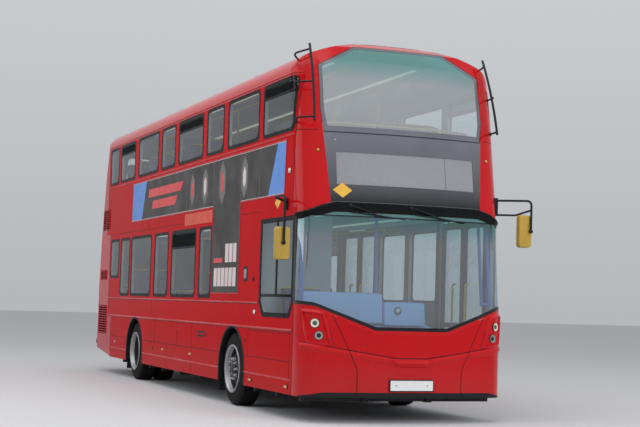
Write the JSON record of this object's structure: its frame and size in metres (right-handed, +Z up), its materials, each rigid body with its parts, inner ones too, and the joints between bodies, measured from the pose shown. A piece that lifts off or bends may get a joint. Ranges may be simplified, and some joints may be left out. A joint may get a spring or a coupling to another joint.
{
  "type": "double decker bus",
  "caption": "Two-deck city bus with glazed nose, inward-gliding front and centre doors, steering, rolling wheels and a lifting engine lid.",
  "frame": {"origin": "on the ground, below the middle of the body", "axes": "+Z up, nose towards -Y, driver's side at -X, passenger doors at +X"},
  "size_m": [3.2, 10.974, 4.4],
  "materials": {
    "body_red": "deep glossy red coach paint",
    "glass_clear": "tinted clear glazing",
    "glass_black": "black bonded glass surround",
    "rubber_black": "matt black rubber",
    "tyre": "worn black tyre rubber",
    "rim_steel": "steel disc wheel with bright ring",
    "chassis_black": "satin black underframe paint",
    "floor_grey": "speckled vinyl floor",
    "seat_fabric": "blue moquette seats",
    "pole_yellow": "coated grab pole",
    "plastic_black": "textured black plastic",
    "mirror_yellow": "yellow moulded mirror shell",
    "lamp_red": "red and amber lamp lens",
    "lamp_white": "clear lamp lens",
    "engine_grey": "cast grey",
    "interior_blue": "light blue interior trim",
    "axle_iron": "painted cast axle"
  },
  "bodies": {
    "bus_body": {"air_springs": "rubber_black", "bumper": "body_red", "cab_partition": "interior_blue", "chassis_frame": "chassis_black", "dashboard": "interior_blue", "destination_panel": "glass_black", "engine_block": "engine_grey", "front_axle": "axle_iron", "front_corners": "body_red", "front_dome": "body_red", "front_panel": "body_red", "grab_poles": "pole_yellow", "headlamps": "lamp_white", "lower_floor": "floor_grey", "mirror_arms": "plastic_black", "mirror_heads": "mirror_yellow", "nose_corners": "body_red", "rear_axle": "axle_iron", "rear_lower": "body_red", "rear_upper": "body_red", "rear_window": "glass_clear", "roof": "body_red", "seats_lower": "seat_fabric", "seats_upper": "seat_fabric", "side_lower_left": "body_red", "side_lower_right": "body_red", "side_upper_left": "body_red", "side_upper_right": "body_red", "side_windows_lower": "glass_clear", "side_windows_upper": "glass_clear", "skirt_panels": "body_red", "staircase": "floor_grey", "steering_wheel": "plastic_black", "tail_lamps": "lamp_red", "tree_guards": "plastic_black", "upper_floor": "floor_grey", "wheel_boxes": "plastic_black", "windscreen_header": "glass_black", "windscreen_lower": "glass_clear", "windscreen_upper": "glass_clear", "wipers": "plastic_black"},
    "knuckle_right": {"knuckle_right": "axle_iron"},
    "front_wheel_right": {"front_tyre_right": "tyre", "front_rim_right": "rim_steel"},
    "rear_wheel_right": {"rear_tyres_right": "tyre", "rear_rims_right": "rim_steel"},
    "knuckle_left": {"knuckle_left": "axle_iron"},
    "front_wheel_left": {"front_tyre_left": "tyre", "front_rim_left": "rim_steel"},
    "rear_wheel_left": {"rear_tyres_left": "tyre", "rear_rims_left": "rim_steel"},
    "front_door_front_arm": {"front_door_front_arm": "pole_yellow"},
    "front_door_front_leaf": {"front_door_front_leaf": "body_red"},
    "front_door_rear_arm": {"front_door_rear_arm": "pole_yellow"},
    "front_door_rear_leaf": {"front_door_rear_leaf": "body_red"},
    "centre_door_front_arm": {"centre_door_front_arm": "pole_yellow"},
    "centre_door_front_leaf": {"centre_door_front_leaf": "body_red"},
    "centre_door_rear_arm": {"centre_door_rear_arm": "pole_yellow"},
    "centre_door_rear_leaf": {"centre_door_rear_leaf": "body_red"},
    "engine_lid": {"engine_lid": "body_red"}
  },
  "joints": [
    {"name": "steer_right", "type": "hinge", "parent": "bus_body", "child": "knuckle_right", "pos_m": [-0.93, -2.775, 0.46], "axis": [0, 0, 1], "range_deg": [-45, 45]},
    {"name": "front_wheel_spin_right", "type": "hinge", "parent": "knuckle_right", "child": "front_wheel_right", "pos_m": [-1.0945, -2.775, 0.46], "axis": [-1, 0, 0], "continuous": true},
    {"name": "rear_wheel_spin_right", "type": "hinge", "parent": "bus_body", "child": "rear_wheel_right", "pos_m": [-1.0945, 2.425, 0.46], "axis": [-1, 0, 0], "continuous": true},
    {"name": "steer_left", "type": "hinge", "parent": "bus_body", "child": "knuckle_left", "pos_m": [0.93, -2.775, 0.46], "axis": [0, 0, 1], "range_deg": [-45, 45]},
    {"name": "front_wheel_spin_left", "type": "hinge", "parent": "knuckle_left", "child": "front_wheel_left", "pos_m": [1.0945, -2.775, 0.46], "axis": [-1, 0, 0], "continuous": true},
    {"name": "rear_wheel_spin_left", "type": "hinge", "parent": "bus_body", "child": "rear_wheel_left", "pos_m": [1.0945, 2.425, 0.46], "axis": [-1, 0, 0], "continuous": true},
    {"name": "front_door_front_arm_swing", "type": "hinge", "parent": "bus_body", "child": "front_door_front_arm", "pos_m": [1.187, -4.9, 1.4], "axis": [0, 0, 1], "range_deg": [0, 80]},
    {"name": "front_door_front_leaf_swing", "type": "hinge", "parent": "front_door_front_arm", "child": "front_door_front_leaf", "pos_m": [1.187, -4.5825, 1.4], "axis": [0, 0, 1], "range_deg": [-160, 0]},
    {"name": "front_door_rear_arm_swing", "type": "hinge", "parent": "bus_body", "child": "front_door_rear_arm", "pos_m": [1.187, -3.63, 1.4], "axis": [0, 0, -1], "range_deg": [0, 80]},
    {"name": "front_door_rear_leaf_swing", "type": "hinge", "parent": "front_door_rear_arm", "child": "front_door_rear_leaf", "pos_m": [1.187, -3.9475, 1.4], "axis": [0, 0, -1], "range_deg": [-160, 0]},
    {"name": "centre_door_front_arm_swing", "type": "hinge", "parent": "bus_body", "child": "centre_door_front_arm", "pos_m": [1.187, -1.63, 1.4], "axis": [0, 0, 1], "range_deg": [0, 80]},
    {"name": "centre_door_front_leaf_swing", "type": "hinge", "parent": "centre_door_front_arm", "child": "centre_door_front_leaf", "pos_m": [1.187, -1.2875, 1.4], "axis": [0, 0, 1], "range_deg": [-160, 0]},
    {"name": "centre_door_rear_arm_swing", "type": "hinge", "parent": "bus_body", "child": "centre_door_rear_arm", "pos_m": [1.187, -0.26, 1.4], "axis": [0, 0, -1], "range_deg": [0, 80]},
    {"name": "centre_door_rear_leaf_swing", "type": "hinge", "parent": "centre_door_rear_arm", "child": "centre_door_rear_leaf", "pos_m": [1.187, -0.6025, 1.4], "axis": [0, 0, -1], "range_deg": [-160, 0]},
    {"name": "engine_lid_lift", "type": "hinge", "parent": "bus_body", "child": "engine_lid", "pos_m": [0, 5.489, 1.497], "axis": [1, 0, 0], "range_deg": [0, 75]}
  ],
  "couplings": [
    {"joint": "steer_left", "follows": "steer_right", "ratio": 1},
    {"joint": "front_door_front_leaf_swing", "follows": "front_door_front_arm_swing", "ratio": -2},
    {"joint": "front_door_rear_arm_swing", "follows": "front_door_front_arm_swing", "ratio": 1},
    {"joint": "front_door_rear_leaf_swing", "follows": "front_door_front_arm_swing", "ratio": -2},
    {"joint": "centre_door_front_leaf_swing", "follows": "centre_door_front_arm_swing", "ratio": -2},
    {"joint": "centre_door_rear_arm_swing", "follows": "centre_door_front_arm_swing", "ratio": 1},
    {"joint": "centre_door_rear_leaf_swing", "follows": "centre_door_front_arm_swing", "ratio": -2}
  ]
}
